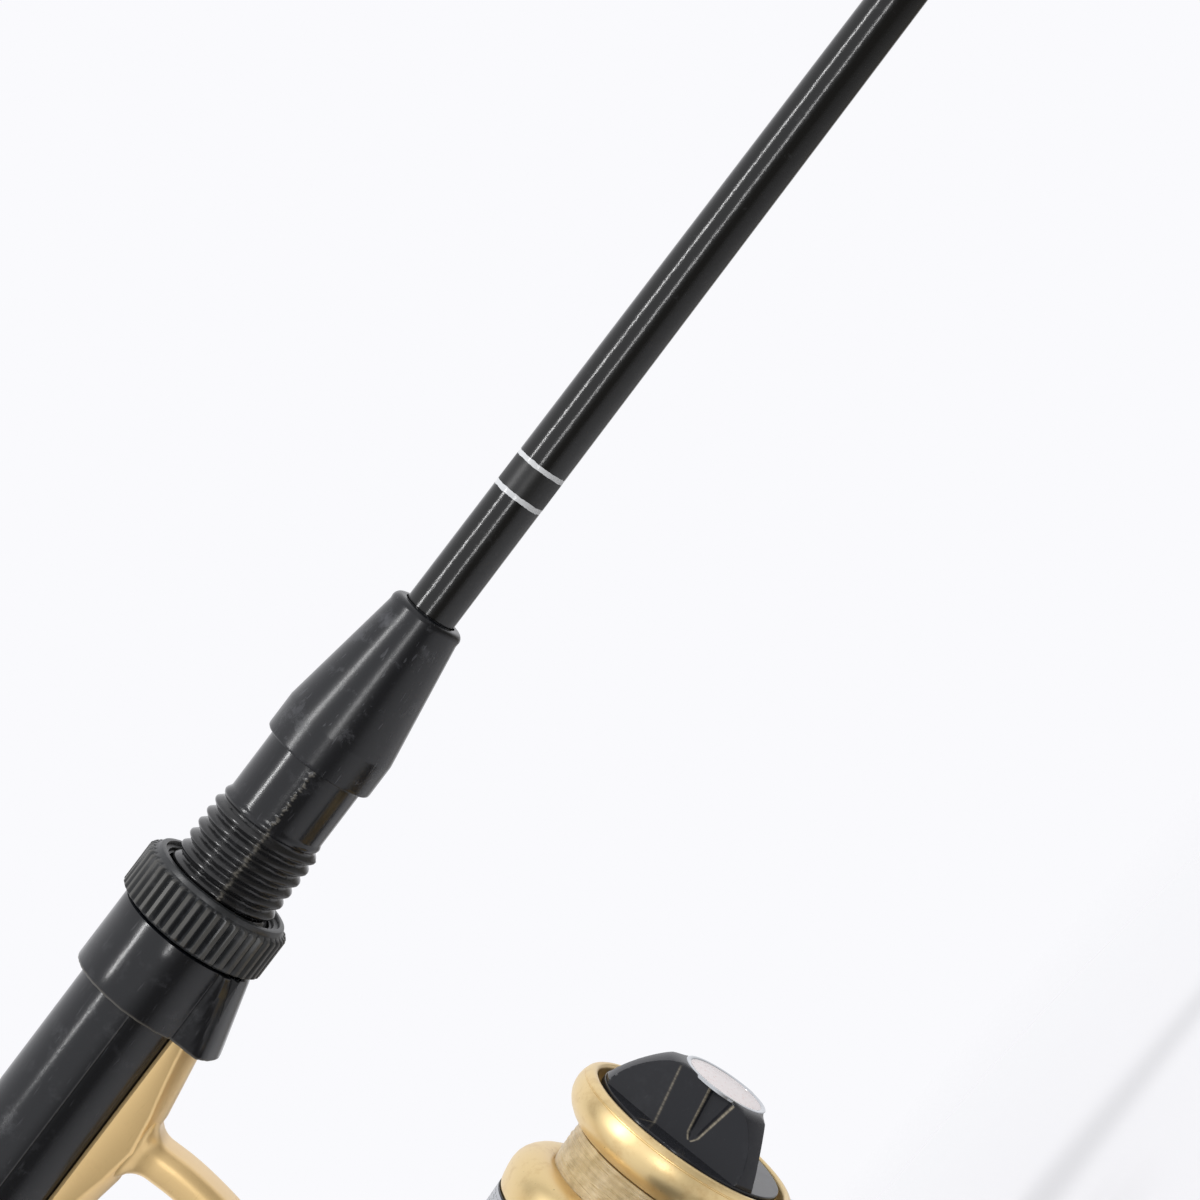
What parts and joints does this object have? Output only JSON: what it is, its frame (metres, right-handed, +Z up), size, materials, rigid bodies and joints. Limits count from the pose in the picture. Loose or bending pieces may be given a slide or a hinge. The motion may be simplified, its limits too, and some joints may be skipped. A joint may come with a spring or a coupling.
{
  "type": "spinning reel on a rod handle",
  "caption": "Open-face spinning reel with crank, rotor, bail and drag knob, clamped by a screw-down hood in the seat of a rod handle with a stub of blank.",
  "frame": {"origin": "on the rod's axis, above the middle of the reel's stem, where the hand holds the rod", "axes": "+X along the rod to its tip, +Y to the crank's side, +Z up, away from the reel"},
  "size_m": [0.3534, 0.0853, 0.1415],
  "materials": {
    "black_plastic": "moulded, slightly scuffed",
    "fibreglass": "gloss wound fibreglass",
    "foam": "closed-cell foam, matt",
    "gold_paint": "gold paint on a casting",
    "gold_metal": "gold anodised, turned",
    "steel": "turned steel",
    "chrome": "polished",
    "brass": "machined",
    "zinc": "cast zinc alloy, grey",
    "line": "nylon line",
    "fibre": "oiled fibre",
    "label": "plain printed disc",
    "foil": "plain patterned foil"
  },
  "bodies": {
    "handle": {"rod_blank": "fibreglass", "fore_cone": "black_plastic", "reel_seat": "black_plastic", "rear_hood": "black_plastic", "rear_grip": "foam", "butt_cap": "black_plastic", "reel_body": "gold_paint", "side_cover": "gold_paint", "cover_screw_1": "steel", "cover_screw_2": "steel", "cover_screw_3": "steel", "drive_bush": "brass", "pinion_bearing": "steel", "bearing_plate": "steel", "pawl_screw": "steel"},
    "hood": {"sliding_hood": "black_plastic"},
    "nut": {"lock_nut": "black_plastic"},
    "crank": {"drive_gear": "zinc", "crank_pin": "steel", "drive_shaft": "steel", "handle_collar": "black_plastic", "crank_arm": "chrome", "handle_screw": "steel", "knob_spindle": "steel"},
    "crank_knob": {"handle_knob": "black_plastic"},
    "rotor": {"pinion_gear": "brass", "ratchet_wheel": "steel", "rotor": "black_plastic", "rotor_nut": "steel", "bail_spring": "steel", "bail_pivot_right": "steel", "bail_pivot_left": "steel"},
    "bail": {"bail_arm_roller": "chrome", "bail_arm_plain": "chrome", "bail_wire": "chrome", "roller_spindle": "steel"},
    "roller": {"line_roller": "chrome"},
    "shaft": {"main_shaft": "steel", "shaft_guide": "zinc", "spool_washer": "steel"},
    "spool": {"spool": "gold_metal", "skirt_band": "foil", "line_core": "line", "line_winding": "line", "drag_washer_fibre_rear": "fibre", "drag_washer_metal": "steel", "drag_washer_fibre_front": "fibre"},
    "knob": {"drag_knob": "black_plastic", "knob_label": "label", "drag_nut": "brass", "drag_spring": "steel"},
    "pawl": {"anti_reverse_pawl": "steel"},
    "lever": {"anti_reverse_lever": "black_plastic", "lever_rod": "steel"}
  },
  "joints": [
    {"name": "hood_slide", "type": "slide", "parent": "handle", "child": "hood", "axis": [1, 0, 0], "range_m": [0, 0.0105]},
    {"name": "nut_turn", "type": "hinge", "parent": "hood", "child": "nut", "pos_m": [0.035, 0, 0], "axis": [1, 0, 0], "range_deg": [0, 1800]},
    {"name": "crank_spin", "type": "hinge", "parent": "handle", "child": "crank", "pos_m": [-0.0139, 0, -0.08086], "axis": [0, 1, 0], "continuous": true},
    {"name": "crank_knob_spin", "type": "hinge", "parent": "crank", "child": "crank_knob", "pos_m": [-0.01163, 0.04, -0.1228], "axis": [0, 1, 0], "continuous": true},
    {"name": "rotor_spin", "type": "hinge", "parent": "handle", "child": "rotor", "pos_m": [0.00008, 0, -0.08011], "axis": [0.9985, 0, 0.0541], "continuous": true},
    {"name": "bail_flip", "type": "hinge", "parent": "rotor", "child": "bail", "pos_m": [0.03802, 0, -0.07805], "axis": [0, -1, 0], "range_deg": [0, 115]},
    {"name": "roller_spin", "type": "hinge", "parent": "bail", "child": "roller", "pos_m": [0.04312, -0.0229, -0.09001], "axis": [0, 1, 0], "continuous": true},
    {"name": "spool_stroke", "type": "slide", "parent": "handle", "child": "shaft", "axis": [0.9985, 0, 0.0541], "range_m": [-0.005, 0.005]},
    {"name": "spool_slip", "type": "hinge", "parent": "shaft", "child": "spool", "pos_m": [0.04002, 0, -0.07794], "axis": [0.9985, 0, 0.0541], "continuous": true},
    {"name": "drag_turn", "type": "hinge", "parent": "shaft", "child": "knob", "pos_m": [0.055, 0, -0.07713], "axis": [0.9985, 0, 0.0541], "range_deg": [-180, 180]},
    {"name": "lever_swing", "type": "hinge", "parent": "handle", "child": "lever", "pos_m": [-0.02945, -0.0049, -0.08972], "axis": [0.9985, 0, 0.0541], "range_deg": [0, 35]},
    {"name": "pawl_swing", "type": "hinge", "parent": "handle", "child": "pawl", "pos_m": [0.0096, 0, -0.08961], "axis": [0.9985, 0, 0.0541], "range_deg": [-3, 20]}
  ],
  "couplings": [
    {"joint": "nut_turn", "follows": "hood_slide", "rad_per_m": 2992},
    {"joint": "rotor_spin", "follows": "crank_spin", "ratio": -4.6667},
    {"joint": "pawl_swing", "follows": "lever_swing", "ratio": 0.4}
  ]
}
